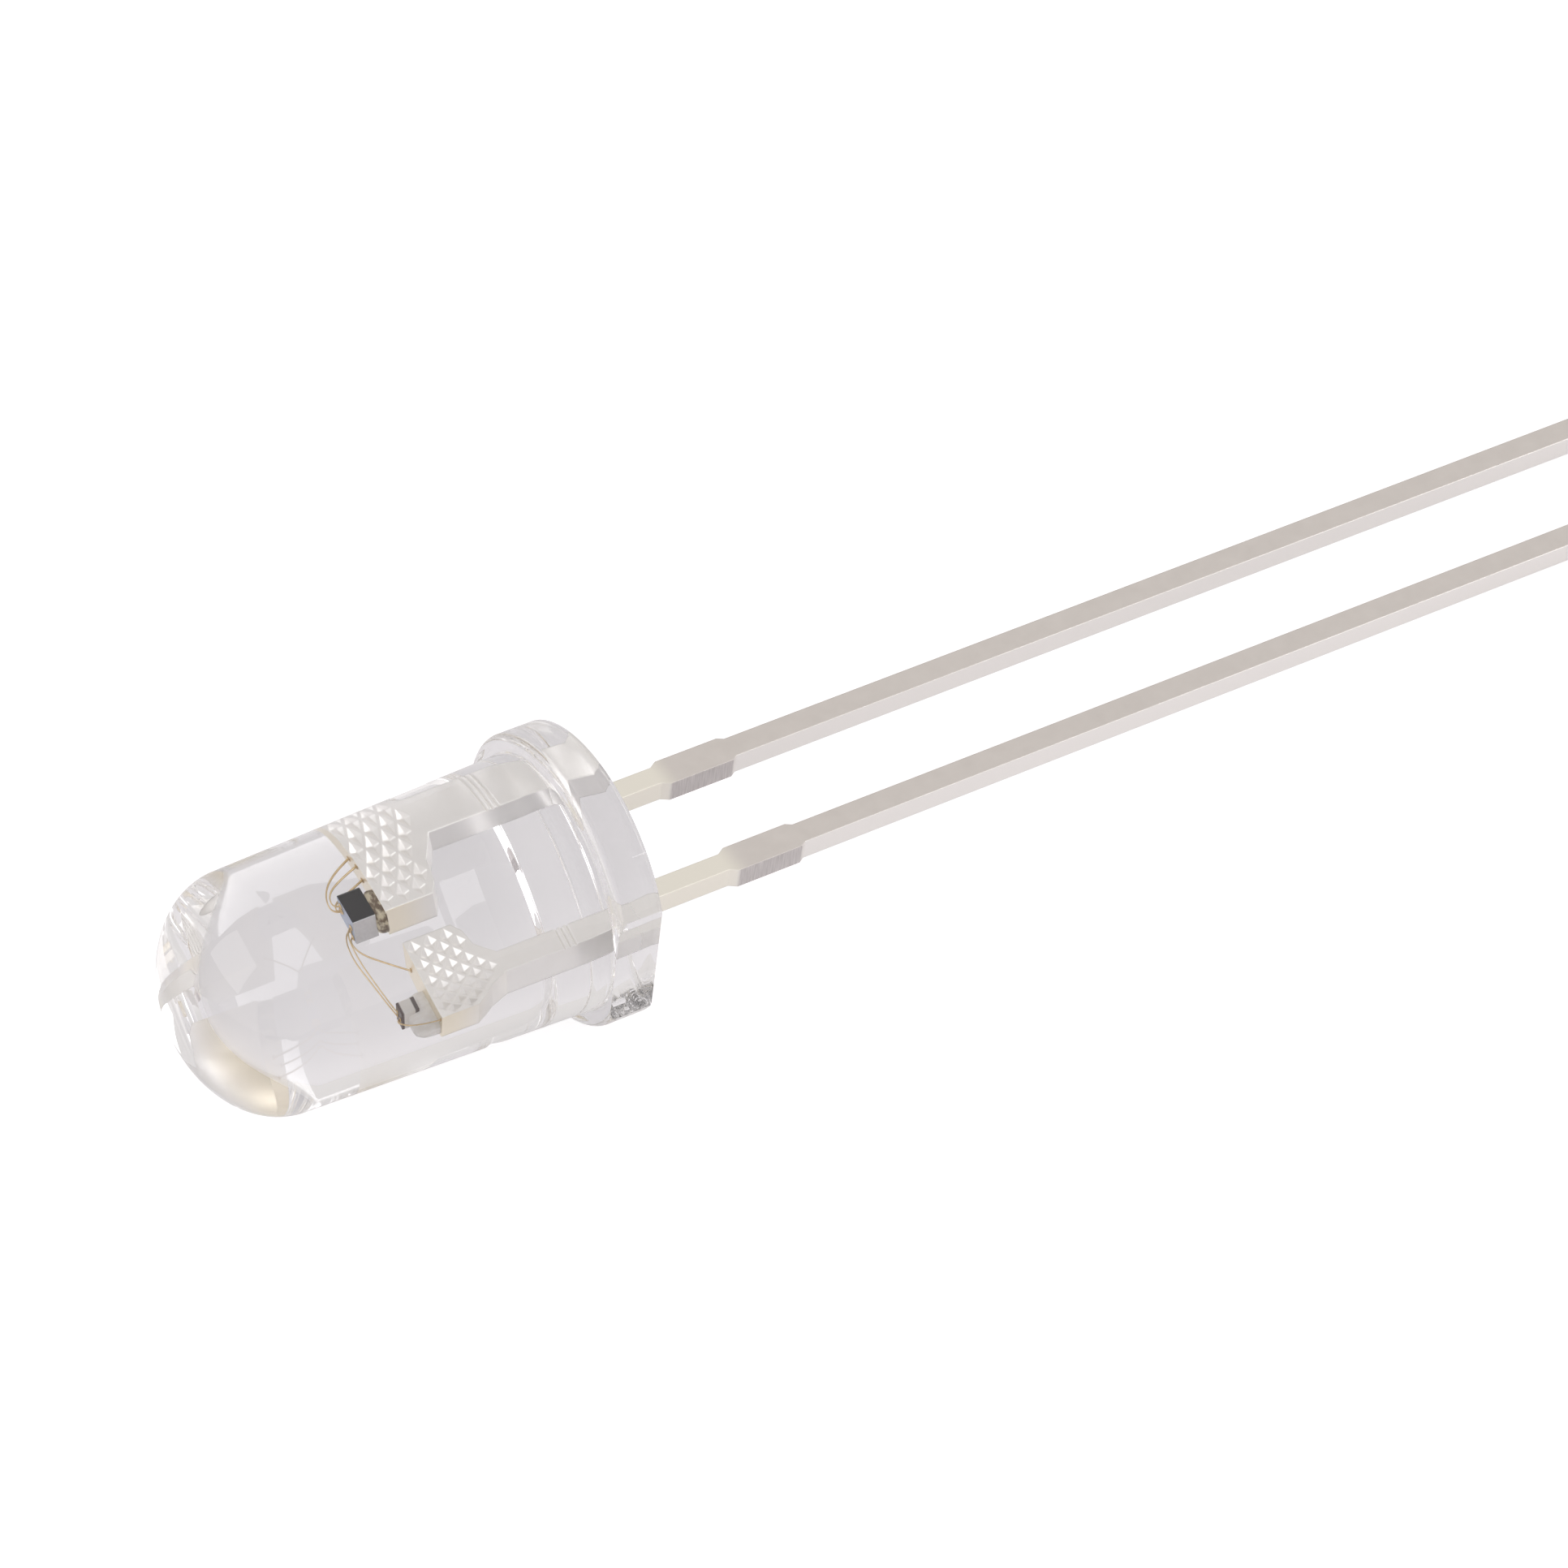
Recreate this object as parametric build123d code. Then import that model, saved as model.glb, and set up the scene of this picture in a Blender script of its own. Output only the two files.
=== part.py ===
# A water-clear through-hole lamp: a cast epoxy lens round two stamped lead frames, a controller
# chip on the anode frame, an emitter chip on the cathode frame, and gold bond wires between them.
#
# Everything is drawn upright first: +Z runs along the lens axis towards the dome, z = 0 is the
# back of the flange, +X runs from the anode lead to the cathode lead, and +Y faces the knurled
# side of the sheet. The last step lays the finished pieces down as the lamp comes to rest.

from build123d import *
from build123d.topology import SkipClean
import math
import os

# Lens
FLANGE_R = 2.96
FLANGE_T = 0.93
FLANGE_ROUND = 0.16
FLAT_FROM_AXIS = 2.64
BARREL_FOOT_R = 2.60
BARREL_TOP_R = 2.415
BARREL_TOP_Z = 7.08
DOME_RISE = 1.80
DOME_SHOULDER_R = 1.45
MENISCUS_R = 2.30
MENISCUS_DEPTH = 0.09
# Turn of the outline's start about +Z: it puts the middle of a facet under the resting rim
OUTLINE_START = -89.4

# Lead frames, stamped from one sheet
PITCH = 2.54
SHEET_T = 0.47
LEAD_W = 0.49
ANODE_LENGTH = 27.0
CATHODE_LENGTH = 25.4
NECK_W = 0.44
NECK_END_Z = -2.30
STUB_W = 0.64
STUB_TOP_Z = -2.46
STUB_FOOT_Z = -3.86
STUB_SLOPE = 0.12

# Flags, the wide ends of the frames inside the lens
FLAG_END_Z = 4.50
FLAG_GAP = 0.54
FLAG_OUTER_X = 2.15
FLAG_ROOT_Z = 2.90
INNER_SHOULDER = ((0.00, 0.58), (0.17, 0.42), (0.45, 0.35))
OUTER_SHOULDER = ((0.00, 0.80), (0.43, 0.39))

# Knurl pits on the front of each flag, and the grooves that lock the epoxy to the leads
PIT_PITCH = 0.245
PIT_SIZE = 0.205
PIT_DEPTH = 0.055
PIT_FLOOR = 0.02
PIT_MARGIN = 0.16
GROOVE_Z = 1.38
GROOVE_PITCH = 0.12
GROOVE_COUNT = 3
GROOVE_DEPTH = 0.035

# Controller chip and its adhesive
CHIP_X = 0.42
CHIP_Y = 0.44
CHIP_Z = 0.49
CHIP_GLUE = 0.20
CHIP_FROM_EDGE = 0.02
GLUE_FILLET = 0.03

# Emitter chip and the grey adhesive mound that it sits in
EMITTER_X = 0.32
EMITTER_Y = 0.30
EMITTER_Z = 0.38
EMITTER_GLUE = 0.24
EMITTER_CENTRE_X = 1.28
EMITTER_CENTRE_Y = -0.07
MOUND_X = 1.14
MOUND_Y = 0.27
MOUND_Z = 0.50
MOUND_CENTRE_X = 1.52
MOUND_DRAFT = 6.0

# Gold bond wires
WIRE_R = 0.0125
WIRE_SIDES = 6
BALL_R = 0.040
BALL_H = 0.024
STITCH_R = 0.034
STITCH_H = 0.024
STITCH_ENTRY = 0.6

# Loops of the bond wires: start on a chip, corners of the loop as (x, y, height over the
# controller chip's top), and the end on a flag or on the other chip
SUPPLY_LOOPS = (
    ((-0.62, 0.12), ((-0.63, 0.12, 0.16), (-0.80, 0.14, 0.11), (-0.93, 0.13, -0.30)), (-1.00, 0.12)),
    ((-0.65, -0.04), ((-0.66, -0.04, 0.10), (-0.77, -0.05, 0.02), (-0.84, -0.05, -0.38)), (-0.90, -0.04)),
    ((-0.60, 0.03), ((-0.62, 0.03, 0.22), (-0.86, 0.04, 0.15), (-1.06, 0.01, -0.22)), (-1.16, -0.01)),
)
DRIVE_LOOPS = (
    ((-0.42, -0.12), ((-0.40, -0.12, 0.17), (-0.02, -0.11, 0.24), (0.45, -0.10, 0.11)), (1.20, -0.10)),
    ((-0.37, 0.01), ((-0.35, 0.01, 0.14), (0.04, 0.00, 0.18), (0.55, -0.02, 0.08)), (1.22, -0.02)),
)
GROUND_LOOP = (
    (-0.36, -0.17),
    ((-0.34, -0.17, 0.11), (-0.10, -0.15, 0.05), (0.22, -0.11, -0.36)),
    (0.50, -0.06),
)
RETURN_LOOP = (
    (1.37, -0.06),
    ((1.38, -0.06, 0.03), (1.72, 0.05, -0.06), (1.96, 0.11, -0.36)),
    (2.05, 0.13),
)


def lens_blank():
    """The casting before its pockets: flange, drafted barrel and low dome, turned in one outline."""
    foot = FLANGE_R - FLANGE_ROUND
    dome_top = BARREL_TOP_Z + DOME_RISE
    shoulder = dome_shoulder()
    outline = [
        TangentArc((0, MENISCUS_DEPTH), (MENISCUS_R, 0), tangent=(1, 0)),
        Line((MENISCUS_R, 0), (FLANGE_R, 0)),
        Line((FLANGE_R, 0), (FLANGE_R, FLANGE_T - FLANGE_ROUND)),
        RadiusArc((FLANGE_R, FLANGE_T - FLANGE_ROUND), (foot, FLANGE_T), -FLANGE_ROUND),
        Line((foot, FLANGE_T), (BARREL_FOOT_R, FLANGE_T)),
        Line((BARREL_FOOT_R, FLANGE_T), (BARREL_TOP_R, BARREL_TOP_Z)),
        TangentArc((BARREL_TOP_R, BARREL_TOP_Z), shoulder, tangent=(0, 1)),
        TangentArc((0, dome_top), shoulder, tangent=(1, 0)),
        Line((0, dome_top), (0, MENISCUS_DEPTH)),
    ]
    blank = Rot(0, 0, OUTLINE_START) * revolve(Plane.XZ * make_face(outline), Axis.Z)
    spare = 2 * FLANGE_R
    trim = Pos(FLAT_FROM_AXIS + spare / 2, 0, FLANGE_T / 2) * Box(spare, spare, FLANGE_T)
    return blank - trim


def dome_shoulder():
    """Point where the dome's tight shoulder runs into its flatter cap."""
    inset = BARREL_TOP_R - DOME_SHOULDER_R
    cap_r = (inset**2 + DOME_RISE**2 - DOME_SHOULDER_R**2) / (2 * (DOME_RISE - DOME_SHOULDER_R))
    centre = DOME_RISE - cap_r
    reach = cap_r / math.hypot(inset, centre)
    return inset * reach, BARREL_TOP_Z + centre - centre * reach


def frame_outline(length):
    """Half frame seen from the front, on the +X side: lead, dam-bar stub, neck, inner lead, flag."""
    mid = PITCH / 2
    lead, neck, stub = LEAD_W / 2, NECK_W / 2, STUB_W / 2
    near = FLAG_GAP / 2
    right = [
        (mid + lead, -length),
        (mid + lead, STUB_FOOT_Z - STUB_SLOPE),
        (mid + stub, STUB_FOOT_Z),
        (mid + stub, STUB_TOP_Z),
        (mid + neck, NECK_END_Z),
        (mid + neck, 0),
        (mid + lead, FLANGE_T),
        (mid + lead, FLAG_ROOT_Z),
    ]
    left = [(2 * mid - x, z) for x, z in reversed(right)]
    outer = [(FLAG_OUTER_X - dx, FLAG_ROOT_Z + dz) for dx, dz in reversed(OUTER_SHOULDER)]
    inner = [(near + dx, FLAG_ROOT_Z + dz) for dx, dz in INNER_SHOULDER]
    return right + outer + [(FLAG_OUTER_X, FLAG_END_Z), (near, FLAG_END_Z)] + inner + left


def knurl_pits():
    """Rows of four-sided pits in a diagonal lattice over the front of the flag."""
    inside = (FLAG_GAP / 2 + PIT_MARGIN, FLAG_OUTER_X - PIT_MARGIN)
    step = PIT_PITCH / math.sqrt(2)
    rows = int((FLAG_END_Z - FLAG_ROOT_Z) / step)
    columns = int((inside[1] - inside[0]) / step)
    draft = math.degrees(math.atan((PIT_SIZE - PIT_FLOOR) / 2 / PIT_DEPTH))
    pit = extrude(Rot(0, 0, 45) * Rectangle(PIT_SIZE, PIT_SIZE), PIT_DEPTH, taper=draft)
    places = []
    for row in range(rows):
        z = FLAG_END_Z - PIT_MARGIN - row * step
        for column in range(row % 2, columns + 1, 2):
            x = inside[0] + column * step
            if z > flag_foot(x) + PIT_MARGIN:
                places.append(Location((x, SHEET_T / 2, z), (90, 0, 0)))
    return [place * pit for place in places]


def flag_foot(x):
    """Lowest z of the flag at this x, along its sloping shoulders."""
    mid = PITCH / 2
    if x < mid:
        run = [(FLAG_GAP / 2 + dx, FLAG_ROOT_Z + dz) for dx, dz in INNER_SHOULDER]
        run.append((mid - LEAD_W / 2, FLAG_ROOT_Z))
    else:
        run = [(mid + LEAD_W / 2, FLAG_ROOT_Z)]
        run += [(FLAG_OUTER_X - dx, FLAG_ROOT_Z + dz) for dx, dz in reversed(OUTER_SHOULDER)]
    for (x0, z0), (x1, z1) in zip(run, run[1:]):
        if x0 <= x <= x1:
            return z0 + (z1 - z0) * (x - x0) / (x1 - x0)
    return FLAG_ROOT_Z


def lock_grooves():
    """Short V grooves pressed across the front of the lead, just inside the lens."""
    side = GROOVE_DEPTH * math.sqrt(2)
    bar = Rot(45, 0, 0) * Box(2 * LEAD_W, side, side)
    return [
        Pos(PITCH / 2, SHEET_T / 2, GROOVE_Z + count * GROOVE_PITCH) * bar
        for count in range(GROOVE_COUNT)
    ]


def cathode_frame():
    """The frame on the flat's side, knurled on its front face."""
    return frame_solid(CATHODE_LENGTH)


def anode_frame():
    """The longer frame, a mirror of the other in its shape."""
    return mirror(frame_solid(ANODE_LENGTH), Plane.YZ)


def frame_solid(length):
    sheet = Plane.XZ * make_face(Polyline(*frame_outline(length), close=True))
    blank = extrude(sheet, SHEET_T / 2, both=True)
    return blank - knurl_pits() - lock_grooves()


def controller_x():
    return -(FLAG_GAP / 2 + CHIP_FROM_EDGE + CHIP_X / 2)


def chip_block(x, y, size, foot):
    return Pos(x, y, foot + size[2] / 2) * Box(*size)


def controller_top():
    return FLAG_END_Z + CHIP_GLUE + CHIP_Z


def emitter_top():
    return FLAG_END_Z + EMITTER_GLUE + EMITTER_Z


def controller_chip():
    """Silicon block on the anode flag's end, flush with the sheet."""
    size = (CHIP_X, CHIP_Y, CHIP_Z)
    return chip_block(controller_x(), 0, size, FLAG_END_Z + CHIP_GLUE)


def emitter_chip():
    """Small light-giving block on the cathode flag's end."""
    size = (EMITTER_X, EMITTER_Y, EMITTER_Z)
    return chip_block(EMITTER_CENTRE_X, EMITTER_CENTRE_Y, size, FLAG_END_Z + EMITTER_GLUE)


def controller_adhesive():
    """Dark bead that holds the controller chip, wider at its foot and trimmed by the sheet."""
    foot = Rectangle(CHIP_X + 2 * GLUE_FILLET, CHIP_Y + 2 * GLUE_FILLET)
    draft = math.degrees(math.atan(GLUE_FILLET / CHIP_GLUE))
    bead = Pos(controller_x(), 0, FLAG_END_Z) * extrude(foot, CHIP_GLUE, taper=draft)
    reach = FLAG_OUTER_X - FLAG_GAP / 2
    room = Pos(-(FLAG_GAP + reach) / 2, 0, FLAG_END_Z + CHIP_GLUE / 2) * Box(
        reach, SHEET_T, CHIP_GLUE
    )
    return bead & room


def emitter_adhesive():
    """Grey mound of filled epoxy with rounded ends, along the back of the flag's end."""
    foot = RectangleRounded(MOUND_X, MOUND_Y, 0.45 * min(MOUND_X, MOUND_Y))
    centre_y = (MOUND_Y - SHEET_T) / 2
    mound = Pos(MOUND_CENTRE_X, centre_y, FLAG_END_Z) * extrude(foot, MOUND_Z, taper=MOUND_DRAFT)
    return mound - emitter_chip()


def bond_wire(loop, start_z, end_z):
    """Ball bond at the start, a wire through the loop's corners, and a flat stitch at the end."""
    (x0, y0), corners, (x1, y1) = loop
    ball = Pos(x0, y0, start_z) * extrude(RegularPolygon(BALL_R, 2 * WIRE_SIDES), BALL_H)
    stitch = Pos(x1, y1, end_z) * extrude(RegularPolygon(STITCH_R, 2 * WIRE_SIDES), STITCH_H)
    path = Polyline(
        (x0, y0, start_z + BALL_H / 2),
        *[(x, y, controller_top() + rise) for x, y, rise in corners],
        (x1, y1, end_z + STITCH_H * STITCH_ENTRY),
    )
    section = (path ^ 0) * RegularPolygon(WIRE_R, WIRE_SIDES)
    wire = sweep(section, path, transition=Transition.RIGHT)
    return ball + wire + stitch


def bond_wires():
    """Every gold wire by name: to the anode flag, to the emitter chip and to the cathode flag."""
    chip, flag, emitter = controller_top(), FLAG_END_Z, emitter_top()
    wires = {}
    for count, loop in enumerate(SUPPLY_LOOPS, start=1):
        wires[f"supply_wire_{count}"] = bond_wire(loop, chip, flag)
    for count, loop in enumerate(DRIVE_LOOPS, start=1):
        wires[f"drive_wire_{count}"] = bond_wire(loop, chip, emitter)
    wires["ground_wire"] = bond_wire(GROUND_LOOP, chip, flag)
    wires["return_wire"] = bond_wire(RETURN_LOOP, emitter, flag)
    return wires


def resting_plane():
    """Level axes of the lamp at rest, on the flange's back rim and one corner of each lead's tip."""
    longer = ANODE_LENGTH - CATHODE_LENGTH
    corner = math.copysign(LEAD_W / 2, longer)
    x, y, z = corner - PITCH / 2, -SHEET_T / 2, -ANODE_LENGTH
    # Up is (roll * slope, 1, slope) before it is scaled to length one, and the tip stands as low
    # as the rim: slope * reach + y = -FLANGE_R * sqrt(1 + (roll * slope) ** 2)
    roll = -longer / PITCH
    reach = roll * x + z
    a = reach**2 - (FLANGE_R * roll) ** 2
    b = 2 * reach * y
    c = y**2 - FLANGE_R**2
    slope = (-b + math.sqrt(b**2 - 4 * a * c)) / (2 * a)
    up = Vector(roll * slope, 1, slope).normalized()
    axis = Vector(0, 0, 1)
    forward = axis - up * axis.dot(up)
    return Plane(origin=(0, 0, 0), x_dir=forward, z_dir=up)


def main():
    pieces = {
        "anode_frame": anode_frame(),
        "cathode_frame": cathode_frame(),
        "controller_chip": controller_chip(),
        "controller_adhesive": controller_adhesive(),
        "emitter_chip": emitter_chip(),
        "emitter_adhesive": emitter_adhesive(),
        **bond_wires(),
    }
    # Unmerged, the flange's rim keeps the outline's start as a corner beside the resting point.
    with SkipClean():
        pieces["epoxy_lens"] = lens_blank() - list(pieces.values())

    os.makedirs("parts", exist_ok=True)
    level = resting_plane()
    for name, piece in pieces.items():
        export_step(level.to_local_coords(piece), f"parts/{name}.step")


main()
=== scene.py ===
import math

import bmesh
import bpy
from mathutils import Matrix, Vector, noise


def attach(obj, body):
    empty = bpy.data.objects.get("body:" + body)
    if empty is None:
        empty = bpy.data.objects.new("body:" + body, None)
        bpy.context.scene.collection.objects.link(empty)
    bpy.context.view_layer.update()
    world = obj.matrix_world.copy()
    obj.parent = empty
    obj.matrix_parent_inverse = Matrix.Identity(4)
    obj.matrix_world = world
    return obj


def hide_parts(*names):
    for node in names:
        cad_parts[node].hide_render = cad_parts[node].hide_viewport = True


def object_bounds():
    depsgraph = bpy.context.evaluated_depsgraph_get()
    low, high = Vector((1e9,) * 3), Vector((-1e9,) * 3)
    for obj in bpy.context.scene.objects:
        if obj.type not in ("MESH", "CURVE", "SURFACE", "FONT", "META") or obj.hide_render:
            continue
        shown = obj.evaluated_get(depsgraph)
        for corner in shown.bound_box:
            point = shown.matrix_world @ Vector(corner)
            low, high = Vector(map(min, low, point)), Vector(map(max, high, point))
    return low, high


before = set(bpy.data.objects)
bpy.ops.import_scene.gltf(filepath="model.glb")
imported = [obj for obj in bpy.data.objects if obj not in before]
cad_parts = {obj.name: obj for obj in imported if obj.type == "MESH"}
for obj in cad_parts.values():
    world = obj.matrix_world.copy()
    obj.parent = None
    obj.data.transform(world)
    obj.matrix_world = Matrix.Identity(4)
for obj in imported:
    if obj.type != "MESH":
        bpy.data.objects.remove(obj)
model_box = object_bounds()
scene = bpy.context.scene

# The lamp lies tilted in the model. These are the ways of the upright lamp as they lie there: across
# from the anode lead to the cathode lead, out of the knurled side, and along the axis to the dome.
# lying turns a point in millimetres on the upright lamp into its place in the model.
across = Vector((0.0067010, 0.9978760, -0.0647990))
out = Vector((-0.1026500, 0.0651450, 0.9925820))
dome_way = Vector((0.9946950, 0.0000000, 0.1028690))
mm_in_metre = 1000.0
lying = Matrix((across, out, dome_way)).transposed() * (1 / mm_in_metre)

# Floor: a sheet of white studio paper that ends the picture on every side. The lamp rests on it
# with the rim of its flange and the tips of both leads. The paper glows a little, because a clear
# lens lets light through to the spot it stands on, and more in the camera's eye, as burnt-out white.
# It lies a hundredth of a millimetre under the lamp, so that it doesn't cut into the fine lens.
paper_half = 1.2
paper_gap = 0.00001
paper_glow, paper_white = 0.24, 0.42


def plug(tree, value, socket):
    """Feed a socket from another one, or set it to a constant."""
    if isinstance(value, bpy.types.NodeSocket):
        tree.links.new(value, socket)
    else:
        socket.default_value = value


def maths(tree, operation, *values):
    """One sum on shader values, each a number or a socket."""
    node = tree.nodes.new("ShaderNodeMath")
    node.operation = operation
    for value, socket in zip(values, node.inputs):
        plug(tree, value, socket)
    return node.outputs[0]


def place(name, mesh):
    """An object of this mesh in the scene, under the same name."""
    thing = bpy.data.objects.new(name, mesh)
    scene.collection.objects.link(thing)
    return thing


def finish_of(name, roughness):
    """A new material, with its tree and its shader."""
    finish = bpy.data.materials.new(name)
    finish.use_nodes = True
    shader = finish.node_tree.nodes["Principled BSDF"]
    shader.inputs["Roughness"].default_value = roughness
    return finish, finish.node_tree, shader


floor_z = model_box[0][2] - paper_gap
corners = [(-1, -1), (1, -1), (1, 1), (-1, 1)]
paper_mesh = bpy.data.meshes.new("studio_paper")
paper_mesh.from_pydata(
    [(x * paper_half, y * paper_half, floor_z) for x, y in corners], [], [(0, 1, 2, 3)]
)
paper, tree, shader = finish_of("white_paper", 0.9)
shader.inputs["Base Color"].default_value = (0.60, 0.585, 0.60, 1)
shader.inputs["Specular IOR Level"].default_value = 0.1
shader.inputs["Emission Color"].default_value = (1, 1, 1, 1)
seen = tree.nodes.new("ShaderNodeLightPath").outputs["Is Camera Ray"]
glow = maths(tree, "MULTIPLY_ADD", seen, paper_white, paper_glow)
plug(tree, glow, shader.inputs["Emission Strength"])
paper_mesh.materials.append(paper)
place("studio_paper", paper_mesh)

# Light tent: white cloth on every side. Its near walls are the brightest, the far walls are dimmer
# and warmer, and its roof is the dimmest.
roof_starts, roof_ends = 0.0, 0.75
near_way = (0.466, 0.885, 0.0)
far_ends, near_starts = -0.5, 0.5
far_cloth = (0.76, 0.735, 0.71, 1)
near_cloth = (1.20, 1.165, 1.135, 1)
roof_cloth = (0.72, 0.70, 0.68, 1)


def dot(tree, source, way):
    """How far a vector reaches along one way."""
    node = tree.nodes.new("ShaderNodeVectorMath")
    node.operation = "DOT_PRODUCT"
    node.inputs[1].default_value = way
    tree.links.new(source, node.inputs[0])
    return node.outputs["Value"]


def step(tree, source, start, end):
    """0 below start, 1 above end, and a smooth rise between."""
    rise = tree.nodes.new("ShaderNodeMapRange")
    rise.interpolation_type = "SMOOTHSTEP"
    rise.inputs["From Min"].default_value = start
    rise.inputs["From Max"].default_value = end
    tree.links.new(source, rise.inputs["Value"])
    return rise.outputs[0]


def blend(tree, share, first, second):
    """A colour between two, each given as a tuple or as a socket."""
    mix = tree.nodes.new("ShaderNodeMix")
    mix.data_type = "RGBA"
    tree.links.new(share, mix.inputs["Factor"])
    plug(tree, first, mix.inputs[6])
    plug(tree, second, mix.inputs[7])
    return mix.outputs[2]


tent = bpy.data.worlds.new("light_tent")
scene.world = tent
tent.use_nodes = True
tree = tent.node_tree
cloth = tree.nodes["Background"]
cloth.inputs["Strength"].default_value = 1.0
way_out = tree.nodes.new("ShaderNodeTexCoord").outputs["Generated"]
near = step(tree, dot(tree, way_out, near_way), far_ends, near_starts)
roof = step(tree, dot(tree, way_out, (0, 0, 1)), roof_starts, roof_ends)
walls = blend(tree, near, far_cloth, near_cloth)
plug(tree, blend(tree, roof, walls, roof_cloth), cloth.inputs["Color"])

# Two soft boxes, each turned to the lamp: one high over the dome end, one low at the lead end.
for name, stand, size, watts in (
    ("soft_dome", (0.30, -0.06, 0.26), 0.28, 0.30),
    ("soft_leads", (-0.30, 0.22, 0.14), 0.24, 0.36),
):
    light = bpy.data.lights.new(name, "AREA")
    light.shape = "SQUARE"
    light.size = size
    light.energy = watts
    box = place(name, light)
    box.location = stand
    box.rotation_euler = (-Vector(stand)).to_track_quat("-Z", "Y").to_euler()

# Camera: a long lens 139 mm from the flange, over the side with the flat. Its place and its three
# ways (right, down and into the picture) are given on the upright lamp.
picture_pixels = 1932
focal_pixels = 8977.34
sensor_width = 36.0
camera_spot = Vector((77.5535, 101.8613, 54.4662))
camera_ways = Matrix((
    (0.52182, 0.65138, -0.55083),
    (0.09319, -0.68538, -0.72220),
    (-0.84795, 0.32553, -0.41835),
))
camera_data = bpy.data.cameras.new("macro_camera")
camera_data.sensor_width = sensor_width
camera_data.lens = focal_pixels * sensor_width / picture_pixels
camera_data.clip_start = 0.005
camera = place("macro_camera", camera_data)
# Blender's camera looks down its own -Z with +Y up, so down and into the picture change sign.
turn = (lying @ camera_ways * mm_in_metre) @ Matrix.Diagonal((1, -1, -1))
camera.matrix_world = Matrix.Translation(lying @ camera_spot) @ turn.to_4x4()
scene.camera = camera
scene.view_settings.view_transform = "Standard"
# Light runs down the clear barrel by many inner reflections before it comes out again.
scene.cycles.max_bounces = 64
scene.cycles.glossy_bounces = 48
scene.cycles.transmission_bounces = 48

# Lead frames: mild steel sheet, stamped and plated with silver. The legs outside the lens are tinned
# over the silver, dull and a little warm. Their cut sides are painted paler, a painted reflection of
# the bright floor. Where the dam bars were cut off, the stubs' sides show the grey streaks of the
# shear.
tin = (0.74, 0.695, 0.665, 1), (0.84, 0.795, 0.765, 1)
painted_side_reflection = (0.97, 0.945, 0.925, 1)
silver = (0.93, 0.915, 0.885, 1), (0.98, 0.97, 0.95, 1)
aired_silver = (1.0, 0.965, 0.875, 1)
yellow_tint_silver = (0.98, 0.91, 0.76, 1)
sheared_steel = (0.46, 0.43, 0.43, 1), (0.82, 0.79, 0.79, 1)
tin_ends_z, silver_starts_z = -2.75, -2.20
air_ends_z, lens_starts_z = -0.9, 0.1
yellow_starts_z, yellow_full_z = 3.3, 4.4
shear_foot_z, shear_top_z, shear_blur = -3.94, -2.50, 0.08
side_starts, side_full = 0.6, 0.95
front_starts, front_full = 0.2, 0.5
mottle_scale, mottle_detail = 2600.0, 5.0
streak_scale, streak_detail, streak_stretch = 2.2, 4.0, 14.0
plated_gloss, sheared_gloss = 0.30, 0.62
grain_depth, grain_strength, edge_round = 0.00001, 0.25, 0.00003

plated, tree, shader = finish_of("plated_sheet", plated_gloss)
shader.inputs["Metallic"].default_value = 1.0
spot = tree.nodes.new("ShaderNodeTexCoord").outputs["Object"]
normal = tree.nodes.new("ShaderNodeNewGeometry").outputs["Normal"]
height = dot(tree, spot, dome_way * mm_in_metre)


def noise_of(tree, source, scale, detail):
    """Fine cloudy noise, from 0 to 1."""
    cloud = tree.nodes.new("ShaderNodeTexNoise")
    cloud.inputs["Scale"].default_value = scale
    cloud.inputs["Detail"].default_value = detail
    tree.links.new(source, cloud.inputs["Vector"])
    return cloud.outputs["Fac"]


def bump_of(tree, source, strength):
    """Shallow relief, a hundredth of a millimetre deep."""
    relief = tree.nodes.new("ShaderNodeBump")
    relief.inputs["Strength"].default_value = strength
    relief.inputs["Distance"].default_value = grain_depth
    tree.links.new(source, relief.inputs["Height"])
    return relief


mottle = noise_of(tree, spot, mottle_scale, mottle_detail)
sideways = maths(tree, "ABSOLUTE", dot(tree, normal, across))
on_side = step(tree, sideways, side_starts, side_full)
# Painted reflection: the legs' faces turned across get a paler colour than the tin.
legs = blend(tree, on_side, blend(tree, mottle, *tin), painted_side_reflection)
in_lens = step(tree, height, air_ends_z, lens_starts_z)
inner = blend(tree, in_lens, aired_silver, blend(tree, mottle, *silver))
plating = blend(tree, step(tree, height, tin_ends_z, silver_starts_z), legs, inner)
# Near the chips, the flags' faces that don't face the front are tinted a little yellow.
on_front = step(tree, dot(tree, normal, out), front_starts, front_full)
edge_on = maths(tree, "SUBTRACT", 1.0, on_front)
near_chips = step(tree, height, yellow_starts_z, yellow_full_z)
yellow = maths(tree, "MULTIPLY", near_chips, edge_on)
plating = blend(tree, yellow, plating, yellow_tint_silver)
# The shear's streaks run through the thickness of the sheet.
above_foot = step(tree, height, shear_foot_z, shear_foot_z + shear_blur)
above_top = step(tree, height, shear_top_z, shear_top_z + shear_blur)
on_stub = maths(tree, "MULTIPLY", above_foot, maths(tree, "SUBTRACT", 1.0, above_top))
sheared = maths(tree, "MULTIPLY", on_side, on_stub)
lines = tree.nodes.new("ShaderNodeCombineXYZ")
plug(tree, maths(tree, "MULTIPLY", height, streak_stretch), lines.inputs[0])
plug(tree, dot(tree, spot, out * mm_in_metre), lines.inputs[1])
streak = noise_of(tree, lines.outputs[0], streak_scale, streak_detail)
colour = blend(tree, sheared, plating, blend(tree, streak, *sheared_steel))
plug(tree, colour, shader.inputs["Base Color"])
gloss = tree.nodes.new("ShaderNodeMapRange")
gloss.inputs["To Min"].default_value = plated_gloss
gloss.inputs["To Max"].default_value = sheared_gloss
plug(tree, sheared, gloss.inputs["Value"])
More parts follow.
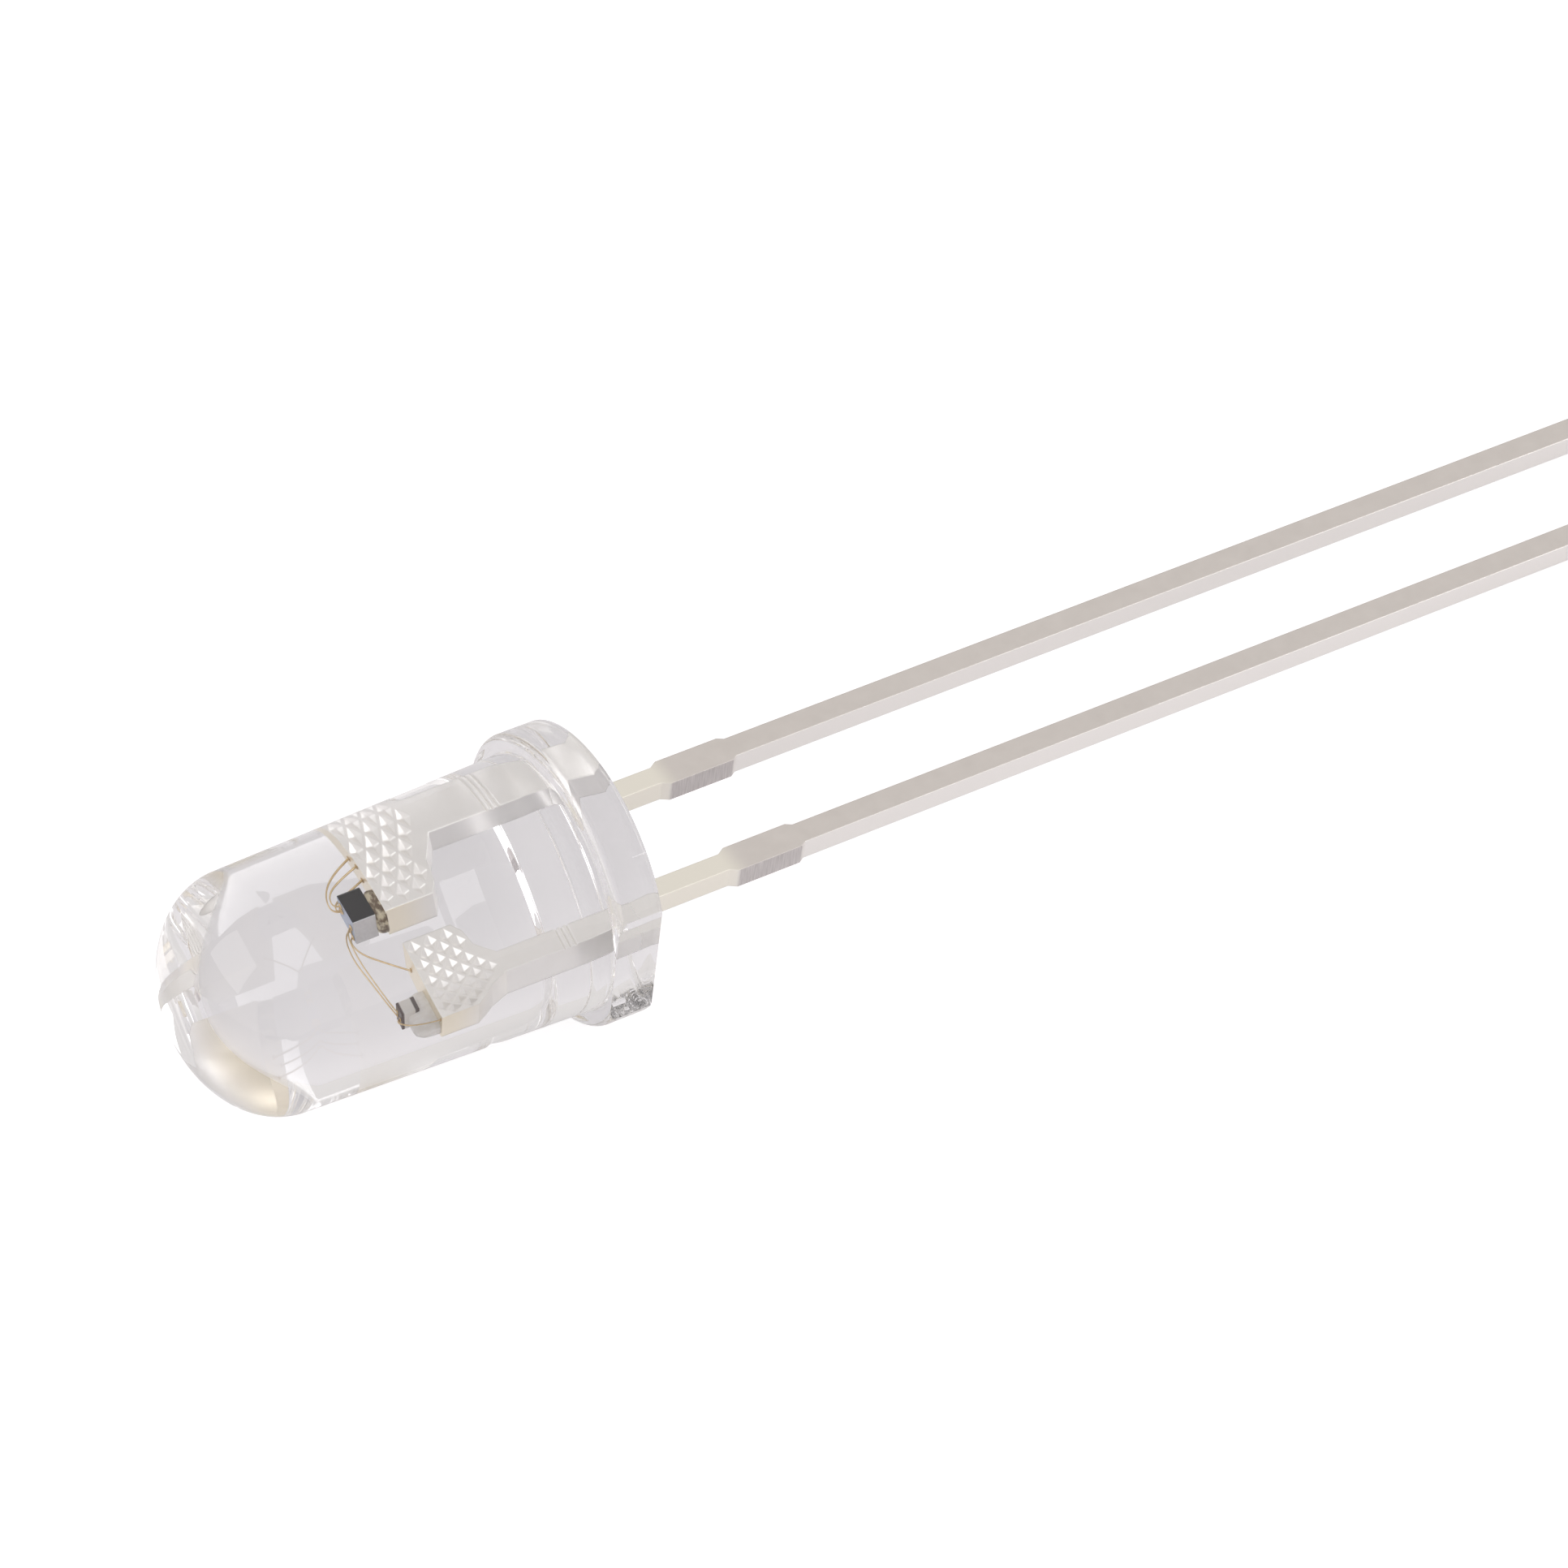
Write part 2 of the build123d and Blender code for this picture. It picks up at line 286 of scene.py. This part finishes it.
plug(tree, gloss.outputs[0], shader.inputs["Roughness"])
surface = tree.nodes.new("ShaderNodeMix")
plug(tree, sheared, surface.inputs["Factor"])
plug(tree, mottle, surface.inputs[2])
plug(tree, streak, surface.inputs[3])
grain = bump_of(tree, surface.outputs[0], grain_strength)
soft_edge = tree.nodes.new("ShaderNodeBevel")
soft_edge.inputs["Radius"].default_value = edge_round
plug(tree, soft_edge.outputs[0], grain.inputs["Normal"])
plug(tree, grain.outputs[0], shader.inputs["Normal"])
for name in ("anode_frame", "cathode_frame"):
    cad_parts[name].data.materials.clear()
    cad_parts[name].data.materials.append(plated)

# Chip adhesives: epoxy that squeezed out round the chips when they were pressed down and set in the
# oven. The controller's bead is brown and rough. The emitter's mound is filled, pale grey and
# smooth, and covers the back of the flag's end. Both are rounded blocks, narrower at the top.
glue_sides = 64
glue_corner = 0.55
glue_neck = 0.9
glue_foot_z = 4.49
lump_rate = 9.0
cloud_scale, cloud_detail = 9000.0, 5.0
cloud_starts, cloud_full, cloud_relief = 0.42, 0.62, 0.3
# The same lumps on the glue, and the same wear on the chips, in every run.
noise.seed_set(7)


def wall(body, rings):
    """Faces between each ring of points and the next."""
    for low, high in zip(rings, rings[1:]):
        for k in range(len(low)):
            j = (k + 1) % len(low)
            body.faces.new((low[k], low[j], high[j], high[k]))


def glue_body(name, centre, foot, top, height, levels, lumps):
    """A lumpy rounded block in millimetres: half widths at its foot and top, and its height."""
    body = bmesh.new()
    rings = []
    for level in range(levels + 1):
        t = level / levels
        swell = (1 - t**3) ** 0.5
        half = [t_half * glue_neck + (f_half - t_half * glue_neck) * swell
                for f_half, t_half in zip(foot, top)]
        ring = []
        for k in range(glue_sides):
            a = 2 * math.pi * k / glue_sides
            c, s = math.cos(a), math.sin(a)
            x = half[0] * math.copysign(abs(c) ** glue_corner, c)
            y = half[1] * math.copysign(abs(s) ** glue_corner, s)
            p = Vector((centre[0] + x, centre[1] + y, glue_foot_z + height * t))
            p += noise.noise_vector(p * lump_rate) * lumps
            ring.append(body.verts.new(lying @ p))
        rings.append(ring)
    wall(body, rings)
    body.faces.new(reversed(rings[0]))
    body.faces.new(rings[-1])
    bmesh.ops.recalc_face_normals(body, faces=body.faces)
    for face in body.faces:
        face.smooth = len(face.verts) == 4
    mesh = bpy.data.meshes.new(name)
    body.to_mesh(mesh)
    body.free()
    return mesh


def glue_finish(name, dark, pale, roughness):
    """Set epoxy with paler clouds in it."""
    finish, tree, shader = finish_of(name, roughness)
    spot = tree.nodes.new("ShaderNodeTexCoord").outputs["Object"]
    cloud = noise_of(tree, spot, cloud_scale, cloud_detail)
    cloudy = step(tree, cloud, cloud_starts, cloud_full)
    plug(tree, blend(tree, cloudy, dark, pale), shader.inputs["Base Color"])
    plug(tree, bump_of(tree, cloud, cloud_relief).outputs[0], shader.inputs["Normal"])
    return finish


bead_mesh = glue_body(
    "controller_bead", (-0.46, 0.0), (0.225, 0.225), (0.195, 0.19), 0.22, levels=14, lumps=0.016
)
bead_mesh.materials.append(
    glue_finish("controller_bead", (0.16, 0.11, 0.07, 1), (0.62, 0.55, 0.40, 1), 0.38)
)
bead = place("controller_bead", bead_mesh)
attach(bead, "root")
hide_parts("controller_adhesive")

mound_mesh = glue_body(
    "emitter_mound", (1.52, -0.10), (0.57, 0.135), (0.30, 0.06), 0.49, levels=18, lumps=0.008
)
mound_mesh.materials.append(
    glue_finish("emitter_mound", (0.93, 0.90, 0.86, 1), (0.98, 0.96, 0.93, 1), 0.42)
)
mound = place("emitter_mound", mound_mesh)
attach(mound, "root")
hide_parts("emitter_adhesive")

# Controller chip: a silicon block cut from a wafer, with light painted on by face. The front has a
# painted dark reflection, almost black, and the sides a painted grey reflection with random dust
# speckle. The top has a painted bluish highlight, and the bevels round the front a painted pale
# highlight.
chip_edge, chip_wear, wear_rate = 0.016, 0.004, 23.0
dust_scale, dust_detail = 16000.0, 4.0
controller_size = (0.42, 0.44, 0.49)
controller_centre = Vector((-0.50, 0.0, 4.945))
dusty_painted_grey_sides = (0.55, 0.54, 0.56, 1), (0.68, 0.67, 0.68, 1)
painted_edge_highlight = (0.72, 0.73, 0.76, 1)
painted_dark_front = (0.020, 0.019, 0.022, 1)
painted_blue_highlight = (0.42, 0.48, 0.62, 1)
edge_highlight_starts, edge_highlight_full = 0.12, 0.35
black_starts, black_full = 0.80, 0.97
blue_starts, blue_full = 0.6, 0.95


def chip_body(name, size, centre):
    """A block with slightly worn edges."""
    block = bmesh.new()
    bmesh.ops.create_cube(block, size=1.0)
    for v in block.verts:
        v.co = Vector([c * s for c, s in zip(v.co, size)])
    bmesh.ops.bevel(
        block, geom=list(block.edges), offset=chip_edge, segments=2, profile=0.6, affect="EDGES"
    )
    for v in block.verts:
        v.co = lying @ (v.co + centre + noise.noise_vector(v.co * wear_rate) * chip_wear)
    bmesh.ops.recalc_face_normals(block, faces=block.faces)
    mesh = bpy.data.meshes.new(name)
    block.to_mesh(mesh)
    block.free()
    return mesh


silicon, tree, shader = finish_of("controller_chip", 0.24)
spot = tree.nodes.new("ShaderNodeTexCoord").outputs["Object"]
normal = tree.nodes.new("ShaderNodeNewGeometry").outputs["Normal"]
to_front = dot(tree, normal, out)
to_dome = dot(tree, normal, dome_way)
# Painted grey reflection on the sides, with random dust speckle in it.
grey_sides = blend(tree, noise_of(tree, spot, dust_scale, dust_detail), *dusty_painted_grey_sides)
# Painted pale highlight on the bevels round the front face.
edged = blend(tree, step(tree, to_front, edge_highlight_starts, edge_highlight_full), grey_sides, painted_edge_highlight)
# Painted dark reflection makes the front face almost black.
fronted = blend(tree, step(tree, to_front, black_starts, black_full), edged, painted_dark_front)
# Painted bluish highlight on the top face, the one toward the dome.
topped = blend(tree, step(tree, to_dome, blue_starts, blue_full), fronted, painted_blue_highlight)
plug(tree, topped, shader.inputs["Base Color"])
controller_mesh = chip_body("controller_chip_block", controller_size, controller_centre)
controller_mesh.materials.append(silicon)
controller = place("controller_chip_block", controller_mesh)
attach(controller, "root")
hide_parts("controller_chip")

# Emitter chip: two dark layers below and on top of a pale crystal, as it was grown and cut.
emitter_size = (0.32, 0.30, 0.38)
emitter_centre = Vector((1.28, -0.07, 4.93))
lower_layer = (0.12, 0.095, 0.09, 1)
pale_crystal = (0.80, 0.77, 0.73, 1)
upper_layer = (0.12, 0.085, 0.08, 1)
crystal_foot_z, crystal_top_z, layer_blur = 4.81, 5.05, 0.03

crystal, tree, shader = finish_of("emitter_chip", 0.30)
spot = tree.nodes.new("ShaderNodeTexCoord").outputs["Object"]
height = dot(tree, spot, dome_way * mm_in_metre)
above_foot = step(tree, height, crystal_foot_z, crystal_foot_z + layer_blur)
above_top = step(tree, height, crystal_top_z, crystal_top_z + layer_blur)
layers = blend(tree, above_foot, lower_layer, pale_crystal)
plug(tree, blend(tree, above_top, layers, upper_layer), shader.inputs["Base Color"])
emitter_mesh = chip_body("emitter_chip_block", emitter_size, emitter_centre)
emitter_mesh.materials.append(crystal)
emitter = place("emitter_chip_block", emitter_mesh)
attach(emitter, "root")
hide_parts("emitter_chip")

# Bond wires: drawn gold, a fortieth of a millimetre thick. Each starts in a ball squashed on a chip,
# rises in a loop and ends in a stitch pressed flat on a flag or on the other chip. Loops are in
# millimetres on the upright lamp, with heights over the controller chip's top.
wire_r = 0.0125
chip_top, emitter_top, flag_end = 5.19, 5.12, 4.50
ball_wide, ball_flat, ball_rise = 0.040, 0.018, 0.010
stitch_wide, stitch_flat, stitch_rise = 0.034, 0.010, 0.008
wire_enters_ball, wire_enters_stitch = 0.012, 0.014
ball_rings, ball_turns = 12, 20
return_swell = 2.2
gold_colours = (0.50, 0.36, 0.20, 1), (0.80, 0.64, 0.40, 1)
rub_scale, rub_detail = 12000.0, 2.0
wire_routes = {
    "supply_wire_1": (
        (-0.62, 0.12, chip_top),
        ((-0.63, 0.12, 0.16), (-0.80, 0.14, 0.11), (-0.93, 0.13, -0.30)),
        (-1.00, 0.12, flag_end),
    ),
    "supply_wire_2": (
        (-0.65, -0.04, chip_top),
        ((-0.66, -0.04, 0.10), (-0.77, -0.05, 0.02), (-0.84, -0.05, -0.38)),
        (-0.90, -0.04, flag_end),
    ),
    "supply_wire_3": (
        (-0.60, 0.03, chip_top),
        ((-0.62, 0.03, 0.22), (-0.86, 0.04, 0.15), (-1.06, 0.01, -0.22)),
        (-1.16, -0.01, flag_end),
    ),
    "drive_wire_1": (
        (-0.42, -0.12, chip_top),
        ((-0.40, -0.12, 0.17), (-0.02, -0.11, 0.24), (0.45, -0.10, 0.11)),
        (1.20, -0.10, emitter_top),
    ),
    "drive_wire_2": (
        (-0.37, 0.01, chip_top),
        ((-0.35, 0.01, 0.14), (0.04, 0.00, 0.18), (0.55, -0.02, 0.08)),
        (1.22, -0.02, emitter_top),
    ),
    "ground_wire": (
        (-0.36, -0.17, chip_top),
        ((-0.34, -0.17, 0.11), (-0.10, -0.15, 0.05), (0.22, -0.11, -0.36)),
        (0.50, -0.06, flag_end),
    ),
    "return_wire": (
        (1.37, -0.06, emitter_top),
        ((1.38, -0.06, 0.03), (1.72, 0.05, -0.06), (1.96, 0.11, -0.36)),
        (2.05, 0.13, flag_end),
    ),
}

gold, tree, shader = finish_of("bond_gold", 0.32)
shader.inputs["Metallic"].default_value = 1.0
spot = tree.nodes.new("ShaderNodeTexCoord").outputs["Object"]
rub = noise_of(tree, spot, rub_scale, rub_detail)
plug(tree, blend(tree, rub, *gold_colours), shader.inputs["Base Color"])


def drawn_wire(name, route, swell):
    """A round wire along a smooth route, swell times as thick at its start as further on."""
    line = bpy.data.curves.new(name, "CURVE")
    line.dimensions = "3D"
    line.bevel_depth = wire_r / mm_in_metre
    line.bevel_resolution = 4
    line.resolution_u = 10
    line.use_fill_caps = True
    spline = line.splines.new("NURBS")
    spline.points.add(len(route) - 1)
    for k, p in enumerate(route):
        spline.points[k].co = (*(lying @ Vector(p)), 1)
        spline.points[k].radius = swell + (1.0 - swell) * min(1.0, k / 2)
    spline.order_u = 3
    spline.use_endpoint_u = True
    carrier = place(name + "_line", line)
    mesh = bpy.data.meshes.new_from_object(
        carrier.evaluated_get(bpy.context.evaluated_depsgraph_get())
    )
    bpy.data.objects.remove(carrier)
    return mesh


def close_ends(body, rings, foot, tip):
    """Faces from the first ring to the foot point and from the last ring to the tip."""
    for k in range(len(rings[0])):
        j = (k + 1) % len(rings[0])
        body.faces.new((foot, rings[0][j], rings[0][k]))
        body.faces.new((tip, rings[-1][k], rings[-1][j]))


def squashed_ball(body, centre, wide, flat):
    """A ball in millimetres that is pressed flat along the lamp's axis."""
    rings = []
    for row in range(1, ball_rings):
        a = math.pi * row / ball_rings
        ring = []
        for k in range(ball_turns):
            b = 2 * math.pi * k / ball_turns
            x, y = wide * math.sin(a) * math.cos(b), wide * math.sin(a) * math.sin(b)
            ring.append(body.verts.new(lying @ (centre + Vector((x, y, -flat * math.cos(a))))))
        rings.append(ring)
    foot = body.verts.new(lying @ (centre - Vector((0, 0, flat))))
    tip = body.verts.new(lying @ (centre + Vector((0, 0, flat))))
    wall(body, rings)
    close_ends(body, rings, foot, tip)


for name, (start, loop, end) in wire_routes.items():
    route = [(start[0], start[1], start[2] + wire_enters_ball)]
    route += [(x, y, chip_top + rise) for x, y, rise in loop]
    route.append((end[0], end[1], end[2] + wire_enters_stitch))
    drawn = drawn_wire(name, route, return_swell if name == "return_wire" else 1.0)
    joined = bmesh.new()
    joined.from_mesh(drawn)
    for (x, y, z), wide, flat, rise in (
        (start, ball_wide, ball_flat, ball_rise),
        (end, stitch_wide, stitch_flat, stitch_rise),
    ):
        squashed_ball(joined, Vector((x, y, z + rise)), wide, flat)
    for face in joined.faces:
        face.smooth = True
    wire_mesh = bpy.data.meshes.new(name + "_gold")
    joined.to_mesh(wire_mesh)
    joined.free()
    bpy.data.meshes.remove(drawn)
    wire_mesh.materials.append(gold)
    wire = place(name + "_gold", wire_mesh)
    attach(wire, "root")
    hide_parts(name)

# Lens: clear epoxy, cast in one piece round all the rest, and turned here as one fine skin: the dish
# left at the back, the flange with its flat and its round front corner, the tapered barrel and the
# low dome.
flange_r, flange_t, flange_round = 2.96, 0.93, 0.16
flat_x = 2.64
dish_r, dish_depth = 2.30, 0.09
foot_r, top_r, top_z, dome_rise = 2.60, 2.415, 7.08, 1.80
back_rings, rim_rings, front_ring = (2.55, 2.63, 2.93), (0.012, 0.3), 2.72
root_fillet, root_bend, root_end = 0.05, 0.015, 0.001
dish_rings, corner_rings, barrel_rings, dome_rings = 14, 8, 12, 40
turns = 288
hard_edge = math.radians(25)

# The skin's outline as (radius, height), from the dish over the flange and up to the dome.
outline = [
    (dish_r * k / dish_rings, dish_depth * (1 - (k / dish_rings) ** 2))
    for k in range(1, dish_rings + 1)
]
outline += [(r, 0.0) for r in back_rings]
outline += [(flange_r, z) for z in (*rim_rings, flange_t - flange_round)]
for k in range(1, corner_rings + 1):
    a = math.radians(90 * k / corner_rings)
    outline.append((
        flange_r - flange_round + flange_round * math.cos(a),
        flange_t - flange_round + flange_round * math.sin(a),
    ))
outline += [
    (front_ring, flange_t),
    (foot_r + root_fillet, flange_t),
    (foot_r + root_bend, flange_t + root_bend),
    (foot_r - root_end, flange_t + root_fillet),
]
for k in range(1, barrel_rings + 1):
    z = flange_t + root_fillet + (top_z - flange_t - root_fillet) * k / barrel_rings
    outline.append((foot_r + (top_r - foot_r) * (z - flange_t) / (top_z - flange_t), z))
for k in range(1, dome_rings):
    a = math.radians(90 * k / dome_rings)
    outline.append((top_r * math.cos(a), top_z + dome_rise * math.sin(a)))

skin = bmesh.new()
rings = []
for r, z in outline:
    ring = []
    for k in range(turns):
        a = 2 * math.pi * (k + 0.5) / turns
        c, s = math.cos(a), math.sin(a)
        reach = min(r, flat_x / c) if c > 0.5 and z <= flange_t else r
        ring.append(skin.verts.new(lying @ Vector((reach * c, reach * s, z))))
    rings.append(ring)
back = skin.verts.new(lying @ Vector((0, 0, dish_depth)))
tip = skin.verts.new(lying @ Vector((0, 0, top_z + dome_rise)))
wall(skin, rings)
close_ends(skin, rings, back, tip)
bmesh.ops.recalc_face_normals(skin, faces=skin.faces)
for face in skin.faces:
    face.smooth = True
for edge in skin.edges:
    edge.smooth = edge.calc_face_angle(0) < hard_edge
lens_mesh = bpy.data.meshes.new("clear_lens")
skin.to_mesh(lens_mesh)
skin.free()
epoxy, tree, shader = finish_of("clear_epoxy", 0.0)
shader.inputs["Base Color"].default_value = (0.985, 0.98, 1.0, 1)
shader.inputs["IOR"].default_value = 1.53
shader.inputs["Transmission Weight"].default_value = 1.0
lens_mesh.materials.append(epoxy)
lens = place("clear_lens", lens_mesh)
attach(lens, "root")
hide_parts("epoxy_lens")

bpy.context.view_layer.update()
